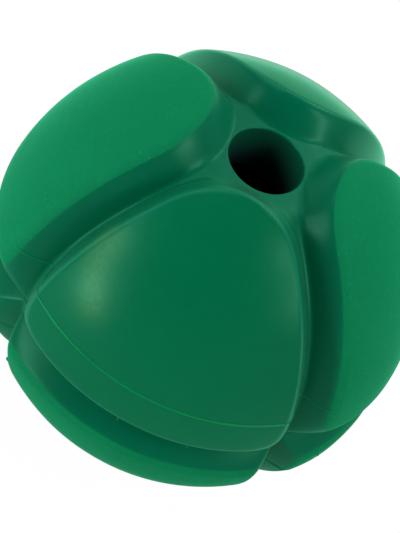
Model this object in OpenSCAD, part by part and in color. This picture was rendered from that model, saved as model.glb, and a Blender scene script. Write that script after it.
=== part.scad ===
// Treat ball of moulded rubber: eight raised pads, three crossing grooves, one treat hole.
// Two moulded half shells are cemented at the middle of the level groove.
// The origin is the centre of the ball, +Z runs out through the treat hole, lengths are in mm.

/* [Ball] */
// Diameter over the matt pads
ball_d = 90; // [84:1:110]
// How far the two satin pads of the upper half lie below the matt ones
satin_drop = 0.5; // [0:0.1:1.5]

/* [Grooves] */
// Width of a groove between its two rims, level with the pads
groove_w = 9.8; // [7:0.1:11]
// Depth of a groove below the pads
groove_depth = 5.6; // [3.5:0.1:7]
// Width of the narrow floor of a groove
floor_w = 1; // [0.6:0.1:2]
// How much the rim of a pad is rounded
rim_round = 1.2; // [0.4:0.1:2]

/* [Treat hole] */
// Bore that the treats fall out of
hole_d = 15; // [10:0.5:17]
// Depth of the flat round the hole below the pads
land_depth = 7.5; // [6.2:0.1:8.5]
// Distance from each groove to the middle of the large rounded pad corners round the hole
corner_mid = 22.5; // [20:0.5:26]

/* [Cavity] */
// Diameter of the round chamber that holds the treats
cavity_d = 54; // [40:1:58]

/* [Cemented joint] */
// Thickness of the cured cement between the two halves
cement_t = 0.2; // [0.1:0.05:0.4]
// Diameter through the middle of the locating tongue
tongue_d = 66; // [63:0.5:70]
// Width of the tongue at its root
tongue_w = 4; // [2:0.5:5]
// Height of the tongue
tongue_h = 3; // [1:0.5:4]
// How much each flank of the tongue leans in over its height
tongue_draft = 0.4; // [0:0.1:0.8]

/* [Parting line] */
// Height of each mould's parting line from the middle of the ball
seam_z = 13; // [8:0.5:18]
// Width of the raised line of flash
flash_w = 0.5; // [0.2:0.1:1]
// How far the flash stands proud
flash_h = 0.25; // [0.1:0.05:0.5]

/* [Hidden] */
$fn = 96;
// Cuts run past the faces that they open by this much
overrun = 1;

ball_r = ball_d / 2;
floor_r = ball_r - groove_depth;
cavity_r = cavity_d / 2;
rim_off = groove_w / 2;
floor_off = floor_w / 2;
land_z = ball_r - land_depth;
face_z = cement_t / 2;
tongue_r = tongue_d / 2;

// Rise of a groove's wall for each unit of distance from the middle of the groove
wall_rate = groove_depth / (rim_off - floor_off);

// Grid lines beside a groove, as shares of the distance from its middle to its rim
near_shares = [0, 0.1, 0.45, 0.78, 0.96, 1.1, 1.27, 1.45, 1.65, 1.9, 2.2];
// Grid lines across a pad, as shares of the way to where three of them meet
far_shares = [0.36, 0.45, 0.55, 0.67, 0.82, 1];
grid_n = len(near_shares) + len(far_shares) - 1;
// Directions round the parting line, as shares of a quarter turn
turn_shares = [0, 0.006, 0.02, 0.035, 0.05, 0.062, 0.07, 0.078, 0.09, 0.11, 0.16, 0.23, 0.31, 0.4, 0.5];

// Lesser of two heights, blended where they are closer than the given width
function soft_min(a, b, width) =
    let (gap = max(width - abs(a - b), 0))
    min(a, b) - gap * gap / (4 * width);

function inverse_square(v) = 1 / (v * v);

// Distance from the nearest of the two upright grooves, on large arcs round the pad corners at the hole,
// and less than nothing on the land between those arcs
function upright_distance(x, y) = corner_mid - norm([max(corner_mid - x, 0), max(corner_mid - y, 0)]);

// Distance from the nearest groove, blended where the level groove crosses so that corners come out round
function groove_distance(u) =
    let (upright = upright_distance(ball_r * abs(u.x), ball_r * abs(u.y)))
    upright <= 0 ? 0 : 1 / sqrt(inverse_square(upright) + inverse_square(ball_r * u.z));

// Distance of the moulded skin from the centre of the ball in the direction u.
// Two of the four pads are lower by the given drop, the ones where x and y have the same sign.
function skin_r(u, drop) =
    let (base = min(floor_r, land_z / abs(u.z)),
         wall = base + max(groove_distance(u) - floor_off, 0) * wall_rate,
         pad = ball_r - (u.x * u.y > 0 ? drop : 0))
    soft_min(wall, pad, rim_round);

function near_share(i) = near_shares[i] * rim_off / ball_r;
function far_share(i) = far_shares[i - len(near_shares)];

// Direction of one grid point in the quarter of a crossing that lies round +Z
function grid_direction(i, j) =
    let (near_i = i < len(near_shares), near_j = j < len(near_shares))
    near_i && near_j ? let (x = near_share(i), y = near_share(j)) [x, y, sqrt(1 - x * x - y * y)]
    : near_i ? let (x = near_share(i), t = far_share(j), z = sqrt((1 - x * x) / (1 + t * t))) [x, t * z, z]
    : near_j ? let (y = near_share(j), t = far_share(i), z = sqrt((1 - y * y) / (1 + t * t))) [t * z, y, z]
    : let (v = [far_share(i), far_share(j), 1]) v / norm(v);

// The same direction turned to the pole k, with X, Y and Z as 0, 1 and 2, in the octant of the signs s
function turned(v, k, s) =
    k == 2 ? [s.x * v.x, s.y * v.y, s.z * v.z]
    : k == 0 ? [s.x * v.z, s.y * v.x, s.z * v.y]
    : [s.x * v.y, s.y * v.z, s.z * v.x];

// Point on the skin of the upper half, kept clear of the middle plane by half the cement
function skin_point(i, j, k, s, drop) =
    let (u = turned(grid_direction(i, j), k, s), p = skin_r(u, drop) * u)
    [p.x, p.y, max(p.z, face_z)];

octants = [[1, 1, 1], [-1, 1, 1], [-1, -1, 1], [1, -1, 1]];
patches = [for (s = octants) for (k = [0, 1, 2]) [k, s]];
patch_size = (grid_n + 1) * (grid_n + 1);

function patch_points(k, s, drop) =
    [for (i = [0:grid_n]) for (j = [0:grid_n]) skin_point(i, j, k, s, drop)];

// Two triangles for each cell, split along the run of a rounded corner
function patch_faces(first, s) =
    [for (i = [0:grid_n - 1]) for (j = [0:grid_n - 1])
        let (a = first + i * (grid_n + 1) + j, d = a + 1, b = a + grid_n + 1, c = b + 1)
        each s.x * s.y * s.z > 0 ? [[a, d, b], [b, d, c]] : [[a, b, d], [b, c, d]]];

// Outline of the flat face, one step along the edge of each patch at a time
function edge_steps(k, s, drop) =
    k == 2 ? []
    : [for (i = [0:grid_n - 1])
        let (a = k == 0 ? skin_point(i, 0, k, s, drop) : skin_point(0, i + 1, k, s, drop),
             b = k == 0 ? skin_point(i + 1, 0, k, s, drop) : skin_point(0, i, k, s, drop))
        s.x * s.y > 0 ? [a, b] : [b, a]];

// Solid inside the moulded skin of an upper half, with a flat face at the middle of the ball
module half_skin(drop) {
    skin_points = [for (p = patches) each patch_points(p[0], p[1], drop)];
    steps = [for (p = patches) each edge_steps(p[0], p[1], drop)];
    face_first = len(skin_points);
    points = concat(skin_points, [for (step = steps) each step], [[0, 0, face_z]]);
    skin_faces = [for (n = [0:len(patches) - 1]) each patch_faces(n * patch_size, patches[n][1])];
    flat_faces = [for (n = [0:len(steps) - 1])
        [face_first + 2 * n, face_first + 2 * n + 1, len(points) - 1]];
    polyhedron(points, concat(skin_faces, flat_faces));
}

// Distance of the skin from the axis at the height of the parting line, found in a few rounds
function seam_r(angle, drop, rounds = 5) =
    rounds == 0 ? ball_r
    : let (near = seam_r(angle, drop, rounds - 1), v = [near * cos(angle), near * sin(angle), seam_z])
    sqrt(pow(skin_r(v / norm(v), drop), 2) - seam_z * seam_z);

// Raised line of flash where the two plates of the mould met
module flash_line(drop) {
    back_half = [for (n = [len(turn_shares) - 2:-1:1]) 1 - turn_shares[n]];
    outline = [for (turn = [0:3]) for (share = concat(turn_shares, back_half))
        let (angle = 90 * (turn + share))
        (seam_r(angle, drop) + flash_h) * [cos(angle), sin(angle)]];
    translate([0, 0, seam_z - flash_w / 2])
        linear_extrude(flash_w)
            polygon(outline);
}

// One moulded half, solid but for the round chamber
module half_shell(drop) {
    difference() {
        union() {
            half_skin(drop);
            flash_line(drop);
        }
        sphere(cavity_r);
    }
}

// Half the width of the tongue at a height, with its root on the lower half's flat face
function tongue_half(height) = tongue_w / 2 - tongue_draft * (height + face_z) / tongue_h;

// Section of the tongue from the given height up, with the given cover all round
module tongue_section(from, cover) {
    top = tongue_h - face_z + cover;
    root = tongue_half(from) + cover;
    tip = tongue_half(top) + cover;
    polygon([
        [tongue_r - root, from],
        [tongue_r + root, from],
        [tongue_r + tip, top],
        [tongue_r - tip, top],
    ]);
}

// Half with the treat hole and the slot that takes the tongue
module upper_shell() {
    color("seagreen")
        difference() {
            half_shell(satin_drop);
            cylinder(d = hole_d, h = ball_r + overrun);
            rotate_extrude()
                tongue_section(0, cement_t);
        }
}

// Half with four matt pads and the tongue, moulded like the other and turned over
module lower_shell() {
    color("forestgreen") {
        rotate([180, 0, 0])
            half_shell(0);
        rotate_extrude()
            tongue_section(-overrun, 0);
    }
}

// Cured cement that fills the gap between the halves and lines the slot
module cement_film() {
    color("darkgreen")
        rotate_extrude()
            difference() {
                union() {
                    translate([cavity_r, -face_z])
                        square([floor_r - cavity_r, cement_t]);
                    tongue_section(0, cement_t);
                }
                tongue_section(-overrun, 0);
            }
}

upper_shell();
lower_shell();
cement_film();
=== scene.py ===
import bmesh
import bpy
import numpy as np
from mathutils import Matrix, Vector


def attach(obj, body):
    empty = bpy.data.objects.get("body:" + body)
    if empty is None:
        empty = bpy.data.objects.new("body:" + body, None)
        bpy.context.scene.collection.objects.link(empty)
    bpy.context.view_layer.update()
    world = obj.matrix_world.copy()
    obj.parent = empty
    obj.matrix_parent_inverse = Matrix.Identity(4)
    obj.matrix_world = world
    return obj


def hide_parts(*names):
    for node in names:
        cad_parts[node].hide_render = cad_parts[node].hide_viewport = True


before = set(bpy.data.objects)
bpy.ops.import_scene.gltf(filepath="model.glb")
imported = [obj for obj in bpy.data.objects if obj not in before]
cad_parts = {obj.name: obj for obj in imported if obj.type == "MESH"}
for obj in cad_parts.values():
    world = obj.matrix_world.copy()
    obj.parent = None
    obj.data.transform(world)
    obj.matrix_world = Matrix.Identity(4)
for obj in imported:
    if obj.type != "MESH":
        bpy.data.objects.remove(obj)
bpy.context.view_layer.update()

MM = 0.001

# The ball
BALL_R = 45.0
SATIN_DROP = 0.5

# Pads that stand higher or lower than their like, by the signs of x, y and z, and the distances from the
# groove over which a pad takes that height on
OWN_HEIGHT_SPAN = (3.0, 15.0)
PAD_HEIGHTS = {(1, -1, -1): 0.75, (-1, 1, 1): -0.25, (1, 1, 1): -0.2}

# Slow waves over the pads: their height, their size and the seed they are drawn from
WAVE_H = 0.03
WAVE_SIZE = 22
WAVE_SEED = 5

# Any slow unevenness is a sum of this many waves, whose sizes vary by these shares. Their sum divided by
# the last number stays between about -1 and 1.
WAVES = 9
WAVE_SPREAD = (0.6, 1.4)
WAVE_SUM = 4

# How far the skin of the lower half lies to one side, and the depths below the joint where that starts and
# where it is reached
SAG = (0.17, -0.54, 0.0)
SAG_SPAN = (2.0, 12.0)

# The grooves
RIM_OFF = 4.9
FLOOR_OFF = 0.5
GROOVE_DEPTH = 5.6
FLOOR_R = BALL_R - GROOVE_DEPTH
WALL_RATE = GROOVE_DEPTH / (RIM_OFF - FLOOR_OFF)
FLOOR_FILLET = 0.35
MATT_ROUND = 1.6
SATIN_ROUND = 1.1

# The treat hole and the land round it
HOLE_R = 7.5
HOLE_FILLET = 0.3
LIP_R = HOLE_R + HOLE_FILLET
LAND_Z = BALL_R - 7.5
LAND_FILLET = 0.6
CORNER_MID = 22.5

# The wide fillet at the foot of the walls on the land, the distances from the axis over which it narrows,
# and how far the lip of the hole reaches, all measured as if on the ball
LAND_FOOT = 0.9
LAND_FOOT_SPAN = (14.0, 22.0)
LIP_REACH = BALL_R * LIP_R / np.hypot(LIP_R, LAND_Z)

# How far the upper grooves on the sides of -X and +Y run off their planes, and where along them that
# starts and ends
BEND = 0.38
BEND_SPAN = (8.0, 30.0)

# How tightly the pad corners by the level groove are rounded in the upper and in the lower half
CORNER_POWERS = (2.0, 4.0)

# Where the finish of the pads starts, as a distance from the groove, and the width of its small step
MATT_EDGE = 4.35
SATIN_EDGE = 5.4
EDGE_W = 0.25

# How close to the ball's skin a point has to be to count as its outside, and how much flash shows as flash
SKIN_DEPTH = 1.0
FLASH_SHOWS = (0.02, 0.1)

# Painted shade inside the shell: how dark the bore is at its mouth, and the depths between which it goes
# fully dark
MOUTH_PAINTED_SHADE = 0.3
BORE_PAINTED_SHADE_SPAN = (0.5, 12.0)

# The painted highlight line along the rim of a satin pad: its distance from the groove and its width
RIM_HIGHLIGHT_LINE = 4.85
RIM_HIGHLIGHT_LINE_W = 0.19

# Path and half width of the painted highlight streak, a mottled lighter tint down the satin pad that faces
# the camera, where it catches the light
HIGHLIGHT_STREAK_PATH = [(-32.4, -6.4, 29.6), (-35.0, -8.6, 25.9), (-36.5, -14.0, 21.1)]
HIGHLIGHT_STREAK_W = 2.7

# The chamber, the cemented joint and the tongue in it
CAVITY_R = 27.0
FACE_Z = 0.1
CEMENT_T = 0.2
TONGUE_R = 33.0
TONGUE_W = 4.0
TONGUE_H = 3.0
TONGUE_DRAFT = 0.4

# The parting lines
SEAM_Z = 13.0
FLASH_W = 0.55
FLASH_H = 0.24
FLASH_STEPS = 2400
FLASH_ROWS = 9
FLASH_SINK = 0.05

# How much of the flash is worn off on the matt pads, and over which distances from the groove
FLASH_WEAR = 0.65
FLASH_WEAR_SPAN = (4.0, 6.0)

# Unevenness of the flash: share of its height and of its width, and the size of the waves
FLASH_UNEVEN_H = (0.3, 5)
FLASH_UNEVEN_W = (0.15, 7)

# Seeds of the unevenness in the upper half and in the lower one, by the sign of z
FLASH_SEEDS = {1: 21, -1: 31}

# Small burrs left at rims: direction from the middle of the ball, height and width
BURRS = [
    ((-31.8, -29.0, 4.3), 0.50, 0.40),
    ((-21.2, -37.5, 4.3), 0.50, 0.45),
    ((9.9, -43.7, -6.5), 0.45, 0.50),
    ((-43.0, -5.4, -11.4), 0.40, 1.10),
    ((-0.9, -42.5, -12.6), 0.50, 0.70),
]

# Shape of a burr: its sides, its rows as shares of its height, how fast it narrows and to what, how oval it
# is, how much of its height it bends over, and a direction that it lies across
BURR_SIDES = 8
BURR_ROWS = (-0.25, 0.1, 0.45, 0.8, 1.0)
BURR_TAPER = 0.7
BURR_TIP = 0.02
BURR_OVAL = (1.5, 0.8)
BURR_BEND = 0.5
BURR_ACROSS = (0.3, 0.5, 0.8)

# The bead of cement that was squeezed out into the level groove: its height and reach, its rows over an arc
# to both sides in degrees, its steps round the ball, how deep its edge starts, and its unevenness as a
# share, the size of the waves and their seed
BEAD = 0.16
BEAD_REACH = 1.4
BEAD_ROWS = 7
BEAD_ARC = 75
BEAD_STEPS = 1440
BEAD_SINK = 0.05
BEAD_UNEVEN = (0.5, 6)
BEAD_SEED = 41

# Directions smaller than this count as lying in a groove's middle plane
TINY = 1e-9

# Points this close to the bore's wall count as lying on it
CLOSE = 0.01

# Points closer than the first are merged, and edges shorter than the second are taken out
MERGE_WITHIN = 0.002
SHORTEST_EDGE = 0.0005
SHARP_ANGLE = 60

# Rings of the round surfaces: chamber of the upper and of the lower half, lip and wall of the bore, and land
# between the lip and the grid of the grooves
UPPER_CHAMBER_RINGS = 40
LOWER_CHAMBER_RINGS = 44
LIP_RINGS = 5
BORE_RINGS = 24
LAND_RINGS = 30

# Rounds that settle the grid of a patch, and the path of a parting line
PATCH_ROUNDS = 60
SEAM_ROUNDS = 12


def soft_min(a, b, width):
    """Lesser of two heights, blended where they are closer than the width."""
    gap = np.maximum(width - np.abs(a - b), 0)
    return np.minimum(a, b) - gap * gap / (4 * width)


def soft_ramp(x, width):
    """Nothing below zero and x above it, with a fillet of the given width at the bend."""
    return -soft_min(-x, 0 * x, width)


def smooth_step(x, low, high):
    """Rises from 0 to 1 between two limits without a kink."""
    t = np.clip((x - low) / (high - low), 0, 1)
    return t * t * (3 - 2 * t)


def signed_distance(u):
    """Distance in mm from the nearest groove, blended where grooves cross, and below zero on the land."""
    x, y, z = u.T * BALL_R
    bend_x = BEND * smooth_step(y, *BEND_SPAN) * (z > 0)
    bend_y = BEND * smooth_step(-x, *BEND_SPAN) * (z > 0)
    power = np.where(z > 0, *CORNER_POWERS)
    x, y, z = np.abs(x + bend_x), np.abs(y + bend_y), np.abs(z)
    upright = CORNER_MID - np.hypot(np.maximum(CORNER_MID - x, 0), np.maximum(CORNER_MID - y, 0))
    blended = (np.maximum(upright, TINY) ** -power + np.maximum(z, TINY) ** -power) ** (-1 / power)
    return np.where(upright > 0, blended, upright)


def groove_distance(u):
    """Distance in mm from the nearest groove, and nothing on the land."""
    return np.maximum(signed_distance(u), 0)


def is_satin(u):
    """The two opposite pads of the upper half that came out of a smoother part of the mould."""
    return (u[:, 0] * u[:, 1] > 0) & (u[:, 2] > 0)


def slow_waves(u, seed, size):
    """Gentle unevenness between about -1 and 1 over the ball, with waves of the given size in mm."""
    rng = np.random.default_rng(seed)
    total = np.zeros(len(u))
    for _ in range(WAVES):
        axis = rng.normal(size=3)
        axis *= BALL_R / size * rng.uniform(*WAVE_SPREAD) / np.linalg.norm(axis)
        total += np.sin(u @ axis * 2 * np.pi + rng.uniform(0, 2 * np.pi))
    return total / WAVE_SUM


def own_height(u):
    """How much a pad stands higher or lower than its like, in the middle of the pad."""
    rise = np.zeros(len(u))
    for signs, height in PAD_HEIGHTS.items():
        inside = (np.sign(u) == signs).all(axis=1)
        rise += inside * height * smooth_step(groove_distance(u), *OWN_HEIGHT_SPAN)
    return rise


def foot_width(u):
    """Width of the fillet at the foot of a wall, wide on the land but clear of the treat hole's lip."""
    across = BALL_R * np.hypot(u[:, 0], u[:, 1])
    widest = LAND_FOOT + (FLOOR_FILLET - LAND_FOOT) * smooth_step(across, *LAND_FOOT_SPAN)
    return np.clip(across - LIP_REACH, FLOOR_FILLET, widest)


def skin_radius(u):
    """Distance in mm of the moulded skin from the centre of the ball in the directions u."""
    satin = is_satin(u)
    up = np.maximum(np.abs(u[:, 2]), TINY)
    base = soft_min(np.full(len(u), FLOOR_R), LAND_Z / up, LAND_FILLET)
    wall = base + soft_ramp(signed_distance(u) - FLOOR_OFF, foot_width(u)) * WALL_RATE
    pad = BALL_R - SATIN_DROP * satin + WAVE_H * slow_waves(u, WAVE_SEED, WAVE_SIZE) + own_height(u)
    return soft_min(wall, pad, np.where(satin, SATIN_ROUND, MATT_ROUND))


def sag(points):
    """Moves the lower half's skin a little to one side, more and more below the joint, as it was moulded."""
    share = smooth_step(-points[..., 2], *SAG_SPAN)
    return points + share[..., None] * np.array(SAG)


def skin_points(u):
    """Points of the finished skin in the directions u."""
    return sag(u * skin_radius(u)[:, None])


def skin_normals(points):
    """Outward normals of the skin at points that lie on it."""
    step = 0.02
    slopes = []
    for axis in np.eye(3):
        sides = []
        for sign in (1, -1):
            p = points + sign * step * axis
            r = np.linalg.norm(p, axis=1)
            sides.append(r - skin_radius(p / r[:, None]))
        slopes.append(sides[0] - sides[1])
    n = np.stack(slopes, axis=-1)
    return n / np.linalg.norm(n, axis=1)[:, None]


class Shape:
    """Collects points in mm and faces, and turns them into one mesh object in metres."""

    def __init__(self):
        self.points = []
        self.faces = []
        self.count = 0

    def add_grid(self, grid, flip=False, closed=False):
        """Adds a grid of points, rows by columns, as four-sided faces."""
        rows, columns = grid.shape[:2]
        index = self.count + np.arange(rows * columns).reshape(rows, columns)
        if closed:
            index = np.concatenate([index, index[:, :1]], axis=1)
        quads = np.stack([index[:-1, :-1], index[1:, :-1], index[1:, 1:], index[:-1, 1:]], axis=-1)
        quads = quads.reshape(-1, 4)
        self.faces.append(quads[:, ::-1] if flip else quads)
        self.points.append(grid.reshape(-1, 3))
        self.count += rows * columns

    def build(self, name, material):
        """Piece made of all that was added, with points that lie together merged."""
        points = np.concatenate(self.points) * MM
        mesh = bpy.data.meshes.new(name)
        mesh.from_pydata(points.tolist(), [], np.concatenate(self.faces).tolist())
        shape = bmesh.new()
        shape.from_mesh(mesh)
        bmesh.ops.remove_doubles(shape, verts=shape.verts, dist=MERGE_WITHIN * MM)
        bmesh.ops.dissolve_degenerate(shape, edges=shape.edges, dist=SHORTEST_EDGE * MM)
        shape.to_mesh(mesh)
        shape.free()
        mesh.shade_smooth()
        mesh.set_sharp_from_angle(angle=np.radians(SHARP_ANGLE))
        mesh.materials.append(material)
        piece = bpy.data.objects.new(name, mesh)
        bpy.context.scene.collection.objects.link(piece)
        return piece


def spaced(*runs):
    """Distances made of runs, each given as its end and its step."""
    places = [0.0]
    for end, step in runs:
        count = max(int(round((end - places[-1]) / step)), 1)
        places += list(np.linspace(places[-1], end, count + 1)[1:])
    return np.array(places)


# Lines of the grid beside a groove, in mm from its middle, close together on the floor and the rim
NEAR = spaced((1.2, 0.2), (3.2, 0.4), (6.6, 0.22), (12.0, 0.36))
NEAR_END = NEAR[-1] / BALL_R

# The other lines up to the middle of a pad, a little closer together where they start
FAR_COUNT = 20
FAR_POWER = 1.1
FAR = (np.arange(1, FAR_COUNT + 1) / FAR_COUNT) ** FAR_POWER
GRID = len(NEAR) + FAR_COUNT


def edge_reach(other):
    """How far a line reaches at the edge of a patch, where its own part equals the part along the pole."""
    return np.sqrt((1 - other ** 2) / 2)


def patch_directions():
    """Directions of the grid over one quarter of a crossing, round +Z with x and y positive."""
    is_near = np.arange(GRID) < len(NEAR)
    near = np.concatenate([NEAR / BALL_R, np.zeros(FAR_COUNT)])
    far = np.concatenate([np.zeros(len(NEAR)), FAR])
    x = np.where(is_near, near, NEAR_END)[:, None] * np.ones(GRID)
    y = x.T.copy()
    for _ in range(PATCH_ROUNDS):
        x = np.where(is_near[:, None], near[:, None], NEAR_END + (edge_reach(y) - NEAR_END) * far[:, None])
        y = np.where(is_near[None, :], near[None, :], NEAR_END + (edge_reach(x) - NEAR_END) * far[None, :])
    return np.stack([x, y, np.sqrt(np.maximum(1 - x ** 2 - y ** 2, 0))], axis=-1)


def turn_patch(grid, pole, signs):
    """Turns a patch to the pole 0, 1 or 2 of X, Y or Z, in the eighth of the ball with these signs."""
    order = {0: [2, 0, 1], 1: [1, 2, 0], 2: [0, 1, 2]}[pole]
    return grid[..., order] * np.array(signs)


def is_flipped(signs):
    """Whether turning a patch to the eighth with these signs mirrors it."""
    return signs[0] * signs[1] * signs[2] < 0


def hole_directions(edge):
    """Directions from the edge of the hole's fillet out to the square of near lines round it."""
    # Lines that are close together on the square stay close together on the circle
    angle = 1 - np.exp(-edge[:, 1] * BALL_R / LIP_R)
    angle *= np.pi / 4 / angle[-1]
    circle = LIP_REACH / BALL_R * np.stack([np.cos(angle), np.sin(angle)], axis=-1)
    share = np.linspace(0, 1, LAND_RINGS)[:, None, None]
    flat = circle * (1 - share) + edge[:, :2] * share
    height = np.sqrt(1 - (flat ** 2).sum(axis=-1))
    return np.concatenate([flat, height[..., None]], axis=-1)


def skin_grid(directions):
    """Points of the skin over a grid of directions."""
    flat = directions.reshape(-1, 3)
    return skin_points(flat).reshape(directions.shape)


def moulded_half(side, with_hole):
    """Outer skin of a half shell, on the side of +Z or -Z, without its flash."""
    shape = Shape()
    patch = patch_directions()
    near = len(NEAR)
    for sx in (1, -1):
        for sy in (1, -1):
            signs = (sx, sy, side)
            flip = is_flipped(signs)
            for pole in (0, 1, 2):
                turned = turn_patch(patch, pole, signs)
                if pole < 2 or not with_hole:
                    shape.add_grid(skin_grid(turned), flip)
                    continue
                shape.add_grid(skin_grid(turned[near - 1:, :]), flip)
                shape.add_grid(skin_grid(turned[:near, near - 1:]), flip)
                quarter = hole_directions(patch[near - 1, :near])
                shape.add_grid(skin_grid(quarter * np.array(signs)), flip)
                other = quarter[..., [1, 0, 2]]
                shape.add_grid(skin_grid(other * np.array(signs)), not flip)
    return shape


def ring(angles, radius, height):
    """Points at these angles round the axis, with their distance from it and at one height."""
    x, y = radius * np.cos(angles), radius * np.sin(angles)
    return np.stack([x, y, np.full(len(angles), height)], axis=-1)


def outline_angles():
    """Angles of the skin's grid once round the middle of the ball, with the first again at the end."""
    patch = patch_directions()
    found = []
    for sx in (1, -1):
        for sy in (1, -1):
            for pole, line in ((0, patch[:, 0]), (1, patch[0, :])):
                edge = turn_patch(line, pole, (sx, sy, 1))
                found.append(np.arctan2(edge[:, 1], edge[:, 0]))
    return np.unique(np.round(np.concatenate(found), 9))


def hole_angles():
    """Angles of the grid once round the treat hole, with the first again at the end."""
    quarter = hole_directions(patch_directions()[len(NEAR) - 1, :len(NEAR)])[0]
    found = []
    for line in (quarter, quarter[:, [1, 0, 2]]):
        for sx in (1, -1):
            for sy in (1, -1):
                found.append(np.arctan2(line[:, 1] * sy, line[:, 0] * sx))
    return np.unique(np.round(np.concatenate(found), 9))


def tongue_half_width(height):
    """Half the width of the tongue at a height, with its flanks leaning in."""
    return TONGUE_W / 2 - TONGUE_DRAFT * (height + FACE_Z) / TONGUE_H


def close_upper(shape):
    """Mating face with its slot, chamber wall, bore and the rounded lip of the treat hole."""
    angles = outline_angles()[:-1]
    top = TONGUE_H - FACE_Z + CEMENT_T
    root = tongue_half_width(0) + CEMENT_T
    tip = tongue_half_width(top) + CEMENT_T
    profile = [
        (FLOOR_R, FACE_Z),
        (TONGUE_R + root, FACE_Z),
        (TONGUE_R + tip, top),
        (TONGUE_R - tip, top),
        (TONGUE_R - root, FACE_Z),
    ]
    rise = np.linspace(np.arcsin(FACE_Z / CAVITY_R), np.arccos(HOLE_R / CAVITY_R), UPPER_CHAMBER_RINGS)
    profile += [(CAVITY_R * np.cos(a), CAVITY_R * np.sin(a)) for a in rise]
    shape.add_grid(np.stack([ring(angles, r, z) for r, z in profile]), closed=True)
    angles = hole_angles()[:-1]
    bend = np.linspace(0, np.pi / 2, LIP_RINGS)
    lip = [(HOLE_R + HOLE_FILLET * (1 - np.sin(a)), LAND_Z - HOLE_FILLET * (1 - np.cos(a))) for a in bend]
    end = np.sqrt(CAVITY_R ** 2 - HOLE_R ** 2)
    wall = [(HOLE_R, z) for z in np.linspace(LAND_Z - HOLE_FILLET, end, BORE_RINGS)[1:]]
    shape.add_grid(np.stack([ring(angles, r, z) for r, z in lip + wall]), flip=True, closed=True)


def close_lower(shape):
    """Mating face with its tongue, and the closed end of the chamber."""
    angles = outline_angles()[:-1]
    top = TONGUE_H - FACE_Z
    root = tongue_half_width(-FACE_Z)
    tip = tongue_half_width(top)
    profile = [
        (FLOOR_R, -FACE_Z),
        (TONGUE_R + root, -FACE_Z),
        (TONGUE_R + tip, top),
        (TONGUE_R - tip, top),
        (TONGUE_R - root, -FACE_Z),
    ]
    fall = np.linspace(np.arcsin(FACE_Z / CAVITY_R), np.pi / 2, LOWER_CHAMBER_RINGS)
    profile += [(CAVITY_R * np.cos(a), -CAVITY_R * np.sin(a)) for a in fall]
    shape.add_grid(np.stack([ring(angles, r, z) for r, z in profile]), flip=True, closed=True)


def seam_points(angles, height):
    """Points of the skin round the ball at one height."""
    reach = np.full(len(angles), BALL_R)
    for _ in range(SEAM_ROUNDS):
        p = ring(angles, reach, height)
        u = p / np.linalg.norm(p, axis=1)[:, None]
        reach = np.sqrt(skin_radius(u) ** 2 - height ** 2)
    return ring(angles, reach, height)


def add_flash(shape, side):
    """Raised, slightly uneven line of flash where the two plates of a mould met."""
    seed = FLASH_SEEDS[side]
    angles = np.linspace(-np.pi, np.pi, FLASH_STEPS + 1)[:-1]
    middle = seam_points(angles, side * SEAM_Z)
    normal = skin_normals(middle)
    along = np.roll(middle, -1, axis=0) - np.roll(middle, 1, axis=0)
    along /= np.linalg.norm(along, axis=1)[:, None]
    across = np.cross(normal, along)
    u = middle / np.linalg.norm(middle, axis=1)[:, None]
    worn = smooth_step(groove_distance(u), *FLASH_WEAR_SPAN) * ~is_satin(u)
    share, size = FLASH_UNEVEN_H
    height = FLASH_H * (1 + share * slow_waves(u, seed, size)) * (1 - FLASH_WEAR * worn)
    share, size = FLASH_UNEVEN_W
    width = FLASH_W * (1 + share * slow_waves(u, seed + 1, size))
    rows = []
    for place in np.linspace(-1, 1, FLASH_ROWS):
        lift = height * (1 - place ** 2) - FLASH_SINK
        rows.append(sag(middle + across * (place * width / 2)[:, None] + normal * lift[:, None]))
    shape.add_grid(np.stack(rows), flip=True, closed=True)


def add_burrs(shape, side):
    """Small bent nibs of rubber that were torn off at the rims."""
    turn = np.linspace(-np.pi, np.pi, BURR_SIDES + 1)[:-1]
    wide, narrow = BURR_OVAL
    for place, height, width in BURRS:
        u = np.array([place]) / np.linalg.norm(place)
        if u[0, 2] * side < 0:
            continue
        root = skin_points(u)[0]
        out = skin_normals(u * skin_radius(u)[:, None])[0]
        first = np.cross(out, BURR_ACROSS)
        first /= np.linalg.norm(first)
        second = np.cross(out, first)
        oval = np.cos(turn)[:, None] * first * wide + np.sin(turn)[:, None] * second * narrow
        rows = []
        for share in BURR_ROWS:
            reach = width / 2 * (1 - max(share, 0)) ** BURR_TAPER + BURR_TIP
            middle = root + out * share * height + first * share ** 2 * height * BURR_BEND
            rows.append(middle + oval * reach)
        shape.add_grid(np.stack(rows), flip=True, closed=True)


# Clear skin of the rubber: its index of refraction, the most of the light that it reflects, and the share of
# reflected light from which its reflections turn whiter and at which they are fully so
SKIN_IOR = 1.33
MOST_GLOSS = 0.35
RIM_TINT_SPAN = (0.2, 0.6)


class Value:
    """A number or colour that comes out of a shader node, and can be used in sums."""

    def __init__(self, nodes, socket):
        self.nodes = nodes
        self.socket = socket

    def __add__(self, other):
        return self.nodes.maths("ADD", self, other)

    def __sub__(self, other):
        return self.nodes.maths("SUBTRACT", self, other)

    def __rsub__(self, other):
        return self.nodes.maths("SUBTRACT", other, self)

    def __mul__(self, other):
        return self.nodes.maths("MULTIPLY", self, other)

    __radd__ = __add__
    __rmul__ = __mul__


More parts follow.
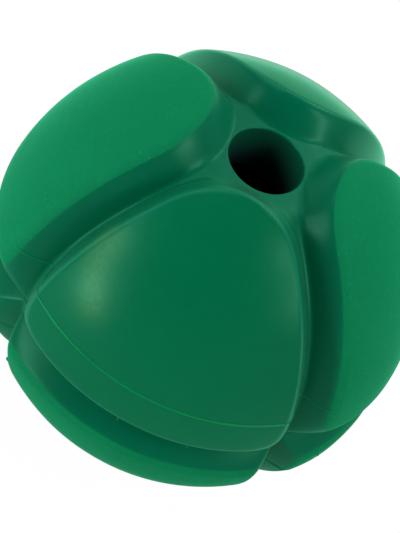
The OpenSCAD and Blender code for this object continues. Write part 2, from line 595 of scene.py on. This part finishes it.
class Nodes:
    """Builds one material, or the world, from nodes."""

    def __init__(self, name, world=None):
        self.material = world or bpy.data.materials.new(name)
        self.material.use_nodes = True
        self.tree = self.material.node_tree
        self.tree.nodes.clear()
        self.output = self.tree.nodes.new("ShaderNodeOutputWorld" if world else "ShaderNodeOutputMaterial")

    def set_input(self, node, key, value):
        """Links a value to an input, or writes a number or colour on it."""
        if isinstance(value, Value):
            self.tree.links.new(value.socket, node.inputs[key])
        else:
            node.inputs[key].default_value = value

    def add(self, kind, settings=None, inputs=None, out=0):
        """A node of a kind, its settings first and then its inputs; gives the value of one output."""
        node = self.tree.nodes.new(kind)
        for key, value in (settings or {}).items():
            if key == "stops":
                ramp = node.color_ramp
                while len(ramp.elements) < len(value):
                    ramp.elements.new(0.5)
                for element, (place, grey) in zip(ramp.elements, value):
                    element.position = place
                    element.color = (grey, grey, grey, 1)
            else:
                setattr(node, key, value)
        for key, value in (inputs or {}).items():
            self.set_input(node, key, value)
        return Value(self, node.outputs[out])

    def maths(self, operation, a, b):
        """Value that an operation gives for two values or numbers."""
        return self.add("ShaderNodeMath", {"operation": operation}, {0: a, 1: b})

    def clamp(self, value):
        """The value, kept between 0 and 1."""
        return self.add("ShaderNodeClamp", None, {"Value": value})

    def mix(self, share, a, b):
        """Mix of two colours."""
        colours = [c if isinstance(c, Value) else (*c, 1) for c in (a, b)]
        return self.add("ShaderNodeMix", {"data_type": "RGBA"}, {0: share, 6: colours[0], 7: colours[1]}, 2)

    def place(self):
        """Place on the object, in metres."""
        return self.add("ShaderNodeTexCoord", out="Object")

    def noise(self, size, detail=2.0, roughness=0.5):
        """Noise from 0 to 1 with features of about the given size in mm."""
        return self.add("ShaderNodeTexNoise", {"noise_dimensions": "3D"}, {
            "Vector": self.place(),
            "Scale": 1 / (size * MM),
            "Detail": detail,
            "Roughness": roughness,
        })

    def ramp(self, value, *stops):
        """The value sent through stops, each given as its place and how light it is."""
        return self.add("ShaderNodeValToRGB", {"stops": stops}, {"Fac": value})

    def lean(self, vector, axis):
        """How far a vector reaches along an axis."""
        return self.add("ShaderNodeVectorMath", {"operation": "DOT_PRODUCT"}, {0: vector, 1: axis}, "Value")

    def seen(self):
        """1 for what the camera sees straight, and 0 for reflections and light."""
        return self.add("ShaderNodeLightPath", out="Is Camera Ray")

    def attribute(self, name):
        """A mark that was left on the mesh."""
        return self.add("ShaderNodeAttribute", {"attribute_name": name}, out="Fac")

    def blend(self, share, first, second):
        """Mix of two shaders."""
        return self.add("ShaderNodeMixShader", None, {0: share, 1: first, 2: second})

    def bump(self, height, strength, distance):
        """Normal of a surface with this height, of which 1 stands for a distance in mm."""
        return self.add("ShaderNodeBump", None, {
            "Strength": strength,
            "Distance": distance * MM,
            "Height": height,
        })

    def reflection(self, normal, roughness, tint):
        """Gloss of one tint."""
        return self.add("ShaderNodeBsdfGlossy", None, {
            "Color": (*tint, 1),
            "Roughness": roughness,
            "Normal": normal,
        })

    def coated(self, colour, normal, roughness, weight, tint, rim_tint):
        """Dull colour under a clear skin, which has one tint in front and another at a glancing view."""
        body = self.add("ShaderNodeBsdfPrincipled", None, {
            "Base Color": colour,
            "Roughness": 1.0,
            "Specular IOR Level": 0.0,
            "Normal": normal,
        })
        fresnel = self.add("ShaderNodeFresnel", None, {"IOR": SKIN_IOR, "Normal": normal})
        front = self.reflection(normal, roughness, tint)
        rim = self.reflection(normal, roughness, rim_tint)
        low, high = RIM_TINT_SPAN
        skin = self.blend(self.clamp((fresnel - low) * (1 / (high - low))), front, rim)
        return self.blend(self.maths("MINIMUM", fresnel * weight, MOST_GLOSS), body, skin)

    def finish(self, shader):
        """Gives the material, or the world, this shader."""
        self.tree.links.new(shader.socket, self.output.inputs["Surface"])
        return self.material


def linear(*srgb):
    """Linear colour from 8-bit display values."""
    return tuple((c / 255 / 12.92) if c <= 10.31 else ((c / 255 + 0.055) / 1.055) ** 2.4 for c in srgb)


def rubber_colour(m, face, rough_face, fine):
    """Green of the rubber, with its clouds, dust and flash, painted highlights on the satin rims and in a
    mottled streak on the middle satin pad, and painted shade darkening the bore and chamber.
    """
    clouds = m.noise(14, 3)
    blotches = m.noise(2.5, 3, 0.6)
    satin = m.mix(clouds * 0.6 + blotches * 0.5, linear(0, 102, 64), linear(0, 115, 75))
    satin = m.mix((1 - face) * 0.25, satin, linear(0, 96, 84))
    specks = m.ramp(fine, (0.4, 0.0), (0.65, 1.0))
    matt = m.mix(clouds, linear(10, 121, 76), linear(15, 133, 84))
    matt = m.mix(specks * 0.25, matt, linear(10, 146, 94))
    green = m.mix(rough_face, satin, matt)
    dust = m.ramp(m.noise(0.45, 1), (0.735, 0.0), (0.78, 1.0))
    green = m.mix(dust * (rough_face * 0.2 + 0.05), green, linear(120, 190, 150))
    flash = m.attribute("flash") * (0.45 + face * 0.4 - rough_face * 0.65)
    green = m.mix(flash, green, linear(5, 148, 79))
    # Painted highlight: a thin lighter line along the rims of the satin pads
    green = m.mix(m.attribute("rim") * 0.45, green, linear(36, 148, 112))
    # Painted highlight: a lighter, yellowish mottled tint along the streak where the middle satin pad
    # catches the light
    highlight_mottles = m.ramp(m.noise(1.1, 4, 0.65), (0.3, 0.35), (0.7, 0.9))
    green = m.mix(m.attribute("worn") * highlight_mottles, green, linear(60, 124, 76))
    # Painted shade: the bore and chamber darken towards their depths
    return m.mix(m.attribute("deep"), green, linear(26, 42, 50))


def rubber_height(m, face, rough_face, fine):
    """Height of the rubber's surface in mm: small step of a face, grain, pebbles and ripples."""
    step = face * 0.012
    grain = m.noise(0.3, 2, 0.6) * (0.002 + rough_face * 0.012)
    pebbles = fine * (face * 0.006)
    ripples = m.noise(4, 2) * 0.02
    return step + grain + pebbles + ripples


def green_rubber():
    """Moulded green rubber: smooth in the grooves, satin on two pads, fine matt grain on the others."""
    m = Nodes("green rubber")
    matt = m.attribute("matt")
    edge = MATT_EDGE + (1 - matt) * (SATIN_EDGE - MATT_EDGE)
    face = m.clamp((m.attribute("groove") - edge) * (1 / EDGE_W) + 0.5)
    rough_face = face * matt
    fine = m.noise(0.9, 3, 0.6)
    green = rubber_colour(m, face, rough_face, fine)
    normal = m.bump(rubber_height(m, face, rough_face, fine), 1.0, 1.0)
    uneven = fine - 0.5
    satin_gloss = 0.3 + face * 0.02 + uneven * (0.04 + face * 0.12)
    matt_gloss = 0.55 + uneven * 0.15
    matt_tint = linear(120, 255, 205)
    smooth = m.coated(green, normal, satin_gloss, 1.0, linear(145, 255, 205), linear(188, 232, 214))
    grained = m.coated(green, normal, matt_gloss, 0.4, matt_tint, matt_tint)
    return m.finish(m.blend(rough_face, smooth, grained))


def painted_highlight_share(points):
    """Share of the painted highlight: one bent, mottled streak down the middle satin pad, where it catches
    the light.
    """
    nearest = np.full(len(points), BALL_R)
    for start, end in zip(np.array(HIGHLIGHT_STREAK_PATH[:-1]), np.array(HIGHLIGHT_STREAK_PATH[1:])):
        along = end - start
        place = np.clip((points - start) @ along / (along @ along), 0, 1)
        nearest = np.minimum(nearest, np.linalg.norm(points - start - place[:, None] * along, axis=1))
    return np.exp(-(nearest / HIGHLIGHT_STREAK_W) ** 2)


def mark(piece):
    """Marks on the mesh where it has a groove, matt grain and flash, where highlights are painted on the
    satin rims and the middle satin pad, and where shade is painted in the bore and chamber.
    """
    mesh = piece.data
    co = np.empty(len(mesh.vertices) * 3)
    mesh.vertices.foreach_get("co", co)
    p = co.reshape(-1, 3) / MM
    # The skin of the lower half is moved back to where it was worked out
    p = p - (sag(p) - p)
    r = np.maximum(np.linalg.norm(p, axis=1), TINY)
    u = p / r[:, None]
    across = np.hypot(p[:, 0], p[:, 1])
    bore = (across < HOLE_R + CLOSE) & (p[:, 2] > 0)
    outside = (r > LAND_Z - SKIN_DEPTH) & ~bore
    # Painted shade, deepening down the bore
    painted_shade_down_bore = smooth_step(LAND_Z - p[:, 2], *BORE_PAINTED_SHADE_SPAN)
    by_seam = np.abs(np.abs(p[:, 2]) - SEAM_Z) < FLASH_W
    marks = {
        "groove": np.where(outside, groove_distance(u), 0),
        "matt": np.where(is_satin(u) | ~outside, 0, 1),
        "flash": smooth_step(r - skin_radius(u), *FLASH_SHOWS) * (outside & by_seam),
        # Painted highlight line along the satin rims
        "rim": is_satin(u) * outside * np.exp(-((groove_distance(u) - RIM_HIGHLIGHT_LINE) / RIM_HIGHLIGHT_LINE_W) ** 2),
        # Painted highlight streak on the middle satin pad
        "worn": outside * painted_highlight_share(p),
        # Painted shade in the bore and chamber
        "deep": np.where(outside, 0, MOUTH_PAINTED_SHADE + (1 - MOUTH_PAINTED_SHADE) * painted_shade_down_bore),
    }
    for name, values in marks.items():
        mesh.attributes.new(name, "FLOAT", "POINT").data.foreach_set("value", values.astype(np.float32))


def trimmed_half(shape, side, name, material):
    """Piece made of a closed half, with its flash and burrs, and with the marks for its rubber."""
    add_flash(shape, side)
    add_burrs(shape, side)
    piece = shape.build(name, material)
    mark(piece)
    return piece


def upper_half(material):
    """Half shell with the treat hole."""
    shape = moulded_half(1, True)
    close_upper(shape)
    piece = trimmed_half(shape, 1, "upper_half_rubber", material)
    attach(piece, "root")
    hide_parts("upper_shell")


def lower_half(material):
    """Closed half shell with the tongue."""
    shape = moulded_half(-1, False)
    close_lower(shape)
    piece = trimmed_half(shape, -1, "lower_half_rubber", material)
    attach(piece, "root")
    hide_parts("lower_shell")
    return piece


def cement_rubber():
    """Cured rubber cement, a little darker than the shells and slightly uneven."""
    m = Nodes("cured rubber cement")
    return m.finish(m.add("ShaderNodeBsdfPrincipled", None, {
        "Base Color": m.mix(m.noise(1.5, 2), linear(0, 78, 54), linear(0, 94, 66)),
        "Roughness": 0.45 + m.noise(0.8) * 0.15,
        "Specular IOR Level": 0.2,
        "Normal": m.bump(m.noise(0.6, 2), 0.3, 0.05),
    }))


def cement_line(material):
    """Cement between the halves, with the small bead that was squeezed out at the bottom of the groove."""
    angles = np.linspace(-np.pi, np.pi, BEAD_STEPS + 1)[:-1]
    share, size = BEAD_UNEVEN
    bead = BEAD * (1 + share * slow_waves(ring(angles, 1.0, 0.0), BEAD_SEED, size))
    edge = FLOOR_R - BEAD_SINK
    rows = [ring(angles, CAVITY_R, FACE_Z), ring(angles, edge, FACE_Z)]
    for a in np.radians(np.linspace(BEAD_ARC, -BEAD_ARC, BEAD_ROWS)):
        out = edge + bead * np.cos(a) * BEAD_REACH
        rows.append(ring(angles, out, (FACE_Z + BEAD) * np.sin(a)))
    rows += [ring(angles, edge, -FACE_Z), ring(angles, CAVITY_R, -FACE_Z)]
    rows.append(rows[0])
    shape = Shape()
    shape.add_grid(np.stack(rows), closed=True)
    piece = shape.build("cement_line", material)
    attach(piece, "root")
    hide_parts("cement_film")


rubber = green_rubber()
upper_half(rubber)
lower = lower_half(rubber)
cement_line(cement_rubber())

# The camera looks down at the treat hole and is rolled to one side: its directions, its distance from the
# middle of the ball in metres, and its focal length and the middle of its picture in pixels of the photo
CAMERA_RIGHT = Vector((0.8685, -0.3813, 0.3167))
CAMERA_UP = Vector((0.1770, 0.8354, 0.5204))
CAMERA_BACK = Vector((-0.4630, -0.3959, 0.7930))
CAMERA_FAR = 0.27
FOCAL_PX = 1296.34
CENTRE_PX = (202.64, 265.64)
PHOTO_PX = (400, 533)
SENSOR_MM = 36
CAMERA_NEAR = 0.01


def make_camera():
    """Camera at the photo's viewing angle."""
    data = bpy.data.cameras.new("camera")
    data.sensor_fit = "AUTO"
    data.sensor_width = SENSOR_MM
    data.lens = FOCAL_PX * SENSOR_MM / PHOTO_PX[1]
    data.shift_x = (PHOTO_PX[0] / 2 - CENTRE_PX[0]) / PHOTO_PX[1]
    data.shift_y = (CENTRE_PX[1] - PHOTO_PX[1] / 2) / PHOTO_PX[1]
    data.clip_start = CAMERA_NEAR
    camera = bpy.data.objects.new("camera", data)
    turn = Matrix((CAMERA_RIGHT, CAMERA_UP, CAMERA_BACK)).transposed().to_4x4()
    camera.matrix_world = Matrix.Translation(CAMERA_BACK * CAMERA_FAR) @ turn
    bpy.context.scene.collection.objects.link(camera)
    bpy.context.scene.camera = camera


# Round lamps of the studio and how far off they stand: the side of each as the camera sees it (right, up,
# toward), its diameter and its power
LAMP_FAR = 0.7
LAMPS = {
    "left_strip_1": ((-0.82, -0.17, 0.55), 0.16, 1.1),
    "left_strip_2": ((-0.75, 0.04, 0.66), 0.16, 0.45),
    "left_strip_3": ((-0.66, 0.24, 0.71), 0.16, 0.6),
    "left_strip_4": ((-0.56, 0.47, 0.68), 0.16, 0.35),
    "right_strip_1": ((0.71, -0.3, 0.62), 0.16, 0.35),
    "right_strip_2": ((0.79, -0.14, 0.59), 0.16, 0.5),
    "right_strip_3": ((0.68, 0.08, 0.73), 0.16, 0.5),
    "right": ((0.87, 0, 0.5), 0.45, 0.3),
    "right_top": ((0.7, 0.65, 0.2), 0.3, 0.7),
    "top": ((0, 0.87, 0.5), 0.45, 0.7),
    "left_top": ((-0.74, 0.65, 0.12), 0.5, 0.55),
    "back_right": ((0.5, 0.85, -0.15), 0.95, 2.0),
    "back_left": ((-0.43, 0.87, -0.25), 0.45, 0.35),
}

# Light of the white studio itself from each side, as the camera sees it
STUDIO = {"right": 0.4, "left": 0.35, "up": 0.0, "down": 0.95, "front": 0.0, "behind": 0.5}

# The white floor under the ball: its radius and sides, its colour, how white it is to the camera, and how
# much of its lit colour and shadow that white covers
PAPER_R = 1.2
PAPER_SIDES = 64
PAPER = 0.8
PAPER_WHITE = 1.02
PAPER_COVER = 0.96

# The side where the floor shines, as a direction on it, how strongly, and how that rises and falls with the
# distance from the ball in metres
SHINE_SIDE = (0.74, 0.67, 0)
SHINE = 1.3
SHINE_SHARES = ((0.04, 0.0), (0.12, 1.0), (0.25, 0.5), (0.6, 0.3))


def make_lamps():
    """Round lamps that all face the ball."""
    for name, (place, diameter, power) in LAMPS.items():
        data = bpy.data.lights.new(name, "AREA")
        data.shape = "DISK"
        data.size = diameter
        data.energy = power
        away = CAMERA_RIGHT * place[0] + CAMERA_UP * place[1] + CAMERA_BACK * place[2]
        away.normalize()
        lamp = bpy.data.objects.new(name, data)
        turn = away.to_track_quat("Z", "Y").to_matrix().to_4x4()
        lamp.matrix_world = Matrix.Translation(away * LAMP_FAR) @ turn
        bpy.context.scene.collection.objects.link(lamp)


def make_world():
    """White studio: pure white to the camera, and light of a different strength from each side."""
    m = Nodes("white studio", bpy.data.worlds.new("white studio"))
    ray = m.add("ShaderNodeTexCoord", out="Generated")
    sides = ((CAMERA_RIGHT, "right", "left"), (CAMERA_UP, "up", "down"), (CAMERA_BACK, "front", "behind"))
    light = 0.0
    for axis, plus, minus in sides:
        lean = m.lean(ray, axis)
        ahead = m.maths("MAXIMUM", lean, 0.0)
        astern = m.maths("MINIMUM", lean, 0.0)
        light = light + ahead * ahead * STUDIO[plus] + astern * astern * STUDIO[minus]
    strength = light + m.seen() * (1 - light)
    m.finish(m.add("ShaderNodeBackground", None, {"Color": (1, 1, 1, 1), "Strength": strength}))
    bpy.context.scene.world = m.material


def make_floor(height):
    """Pale floor that shows white, keeps a faint soft shadow, and shines behind the ball like a backdrop."""
    m = Nodes("white floor")
    paper = m.add("ShaderNodeBsdfDiffuse", None, {"Color": (PAPER, PAPER, PAPER, 1)})
    shine = m.ramp(m.lean(m.place(), SHINE_SIDE), *SHINE_SHARES)
    backdrop = m.add("ShaderNodeEmission", None, {"Color": shine, "Strength": SHINE})
    lit = m.add("ShaderNodeAddShader", None, {0: paper, 1: backdrop})
    white = m.add("ShaderNodeEmission", None, {"Color": (1, 1, 1, 1), "Strength": PAPER_WHITE})
    mesh = bpy.data.meshes.new("floor")
    shape = bmesh.new()
    bmesh.ops.create_circle(shape, cap_ends=True, segments=PAPER_SIDES, radius=PAPER_R)
    shape.to_mesh(mesh)
    shape.free()
    mesh.materials.append(m.finish(m.blend(m.seen() * PAPER_COVER, lit, white)))
    floor = bpy.data.objects.new("floor", mesh)
    floor.location = (0, 0, height)
    bpy.context.scene.collection.objects.link(floor)


make_camera()
make_lamps()
make_world()
make_floor(min(corner[2] for corner in lower.bound_box))

bpy.context.scene.view_settings.view_transform = "Standard"
